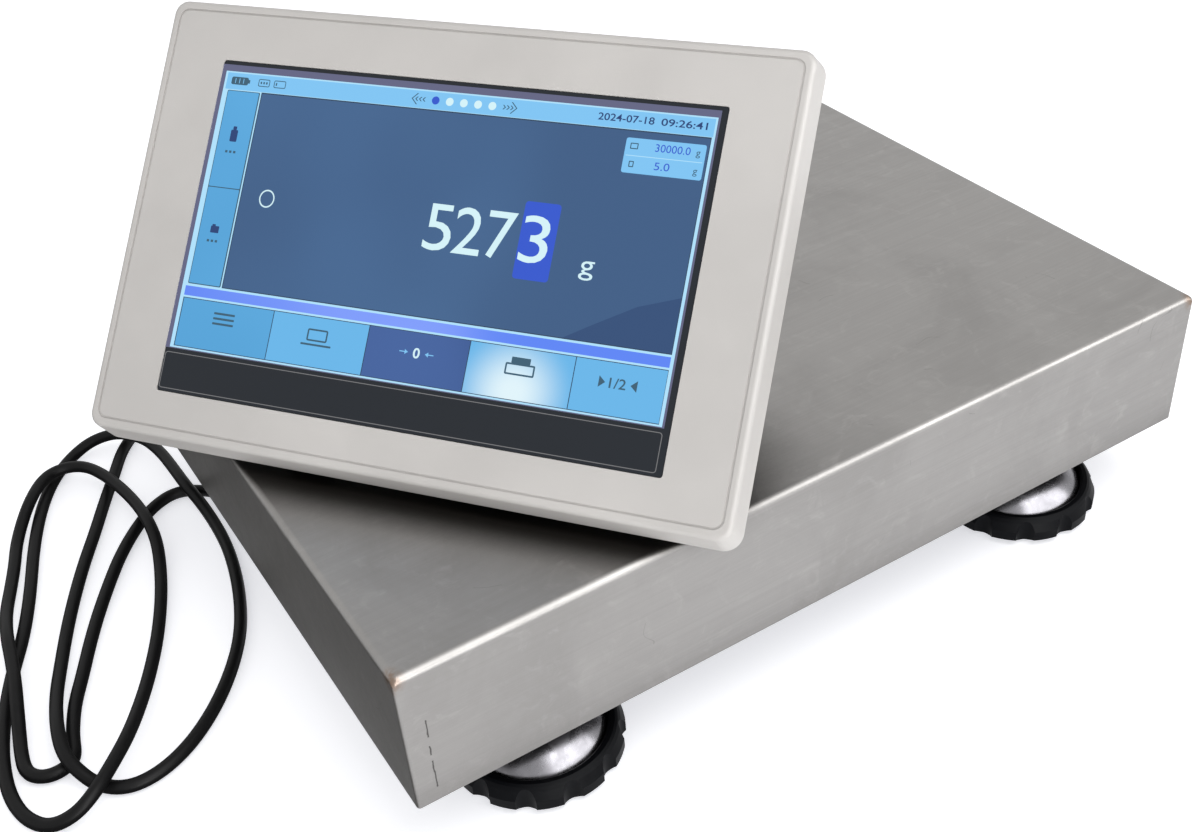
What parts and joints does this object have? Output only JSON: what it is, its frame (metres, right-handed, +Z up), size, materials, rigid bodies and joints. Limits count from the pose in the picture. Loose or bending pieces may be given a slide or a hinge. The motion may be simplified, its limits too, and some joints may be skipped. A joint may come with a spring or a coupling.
{
  "type": "bench scale with touch indicator",
  "caption": "Bench platform scale: folded stainless pan on levelling feet, with a free-standing touch indicator joined by a loose cord.",
  "frame": {"origin": "centre of the footprint of everything but the cord and its plug, at the level the feet stand on", "axes": "+X right along the pan's front edge, +Y towards the back, +Z up"},
  "size_m": [0.5311, 0.3742, 0.2529],
  "materials": {
    "stainless": "brushed, uncoated",
    "frame_paint": "satin black",
    "cell_metal": "milled, clear anodised",
    "steel": "zinc plated",
    "foot_black": "moulded black",
    "foot_dome": "polished",
    "rubber": "matte",
    "case": "fine satin, light warm grey",
    "case_rear": "fine satin, cool grey",
    "clip": "thin translucent-looking blue grey",
    "screen": "glossy touch panel",
    "panel": "dark display back",
    "board": "green circuit board",
    "battery": "blue shrink wrap",
    "connector": "nickel plated",
    "plug_black": "moulded black",
    "cable": "matte black jacket",
    "potting": "white sealing compound",
    "vial": "yellow green"
  },
  "bodies": {
    "base": {"base_rail_front": "frame_paint", "base_rail_rear": "frame_paint", "rail_caps": "foot_black", "foot_bosses": "steel", "foot_locknuts": "steel", "base_plate": "frame_paint", "overload_stops": "steel", "stop_locknuts": "steel", "level_cup": "case_rear", "level_vial": "vial", "gland_body": "foot_black", "gland_cap": "foot_black", "gland_nut": "foot_black", "cell_lead": "cable", "load_cell": "cell_metal", "gauge_potting": "potting", "spacer_lower": "steel", "cell_screws_lower": "steel", "cord": "cable", "plug_ring": "connector", "plug_shell": "plug_black", "plug_boot": "plug_black"},
    "platform": {"pan": "stainless", "pan_bumpers": "rubber", "spider": "frame_paint", "spacer_upper": "steel", "cell_screws_upper": "steel"},
    "indicator": {"bezel": "case", "glass_panel": "screen", "lcd_module": "panel", "display_frame": "steel", "rear_cover": "case_rear", "battery_door": "case_rear", "battery_door_screw": "steel", "case_screws": "steel", "main_board": "board", "battery_pack": "battery", "top_clips": "clip", "signal_socket": "connector", "socket_nut": "connector", "dc_jack": "plug_black", "serial_port": "connector", "button_switch": "plug_black", "stand_pin": "steel", "indicator_feet": "rubber"},
    "stand": {"stand_leg": "case_rear", "stand_tips": "rubber"},
    "power_key": {"power_button": "foot_black"},
    "foot_1_sole": {"foot_1_pad": "rubber"},
    "foot_1_screw": {"foot_1_knob": "foot_black", "foot_1_dome": "foot_dome"},
    "foot_2_sole": {"foot_2_pad": "rubber"},
    "foot_2_screw": {"foot_2_knob": "foot_black", "foot_2_dome": "foot_dome"},
    "foot_3_sole": {"foot_3_pad": "rubber"},
    "foot_3_screw": {"foot_3_knob": "foot_black", "foot_3_dome": "foot_dome"},
    "foot_4_sole": {"foot_4_pad": "rubber"},
    "foot_4_screw": {"foot_4_knob": "foot_black", "foot_4_dome": "foot_dome"}
  },
  "joints": [
    {"name": "platform_travel", "type": "slide", "parent": "base", "child": "platform", "axis": [0, 0, 1], "range_m": [-0.00075, 0], "stiffness_N_per_m": 1000000, "deforming": ["load_cell"]},
    {"name": "indicator_lift", "type": "slide", "parent": "platform", "child": "indicator", "axis": [-0.5745, -0.4505, 0.6834], "range_m": [0, 0.06]},
    {"name": "stand_fold", "type": "hinge", "parent": "indicator", "child": "stand", "pos_m": [-0.05282, 0.00981, 0.18939], "axis": [0.617, -0.7869, 0], "range_deg": [-39.5, 0]},
    {"name": "power_press", "type": "slide", "parent": "indicator", "child": "power_key", "axis": [-0.5745, -0.4505, 0.6834], "range_m": [0, 0.0012], "stiffness_N_per_m": 600, "springref_m": -0.0005},
    {"name": "foot_1_height", "type": "slide", "parent": "base", "child": "foot_1_sole", "axis": [0, 0, 1], "range_m": [-0.0075, 0.0045]},
    {"name": "foot_1_turn", "type": "hinge", "parent": "foot_1_sole", "child": "foot_1_screw", "pos_m": [-0.11333, -0.10972, 0.002], "axis": [0, 0, 1], "range_deg": [-1800, 1080]},
    {"name": "foot_2_height", "type": "slide", "parent": "base", "child": "foot_2_sole", "axis": [0, 0, 1], "range_m": [-0.0075, 0.0045]},
    {"name": "foot_2_turn", "type": "hinge", "parent": "foot_2_sole", "child": "foot_2_screw", "pos_m": [-0.11333, 0.12628, 0.002], "axis": [0, 0, 1], "range_deg": [-1800, 1080]},
    {"name": "foot_3_height", "type": "slide", "parent": "base", "child": "foot_3_sole", "axis": [0, 0, 1], "range_m": [-0.0075, 0.0045]},
    {"name": "foot_3_turn", "type": "hinge", "parent": "foot_3_sole", "child": "foot_3_screw", "pos_m": [0.15567, -0.10972, 0.002], "axis": [0, 0, 1], "range_deg": [-1800, 1080]},
    {"name": "foot_4_height", "type": "slide", "parent": "base", "child": "foot_4_sole", "axis": [0, 0, 1], "range_m": [-0.0075, 0.0045]},
    {"name": "foot_4_turn", "type": "hinge", "parent": "foot_4_sole", "child": "foot_4_screw", "pos_m": [0.15567, 0.12628, 0.002], "axis": [0, 0, 1], "range_deg": [-1800, 1080]}
  ],
  "couplings": [
    {"joint": "foot_1_turn", "follows": "foot_1_height", "rad_per_m": 4188.8},
    {"joint": "foot_2_turn", "follows": "foot_2_height", "rad_per_m": 4188.8},
    {"joint": "foot_3_turn", "follows": "foot_3_height", "rad_per_m": 4188.8},
    {"joint": "foot_4_turn", "follows": "foot_4_height", "rad_per_m": 4188.8}
  ]
}
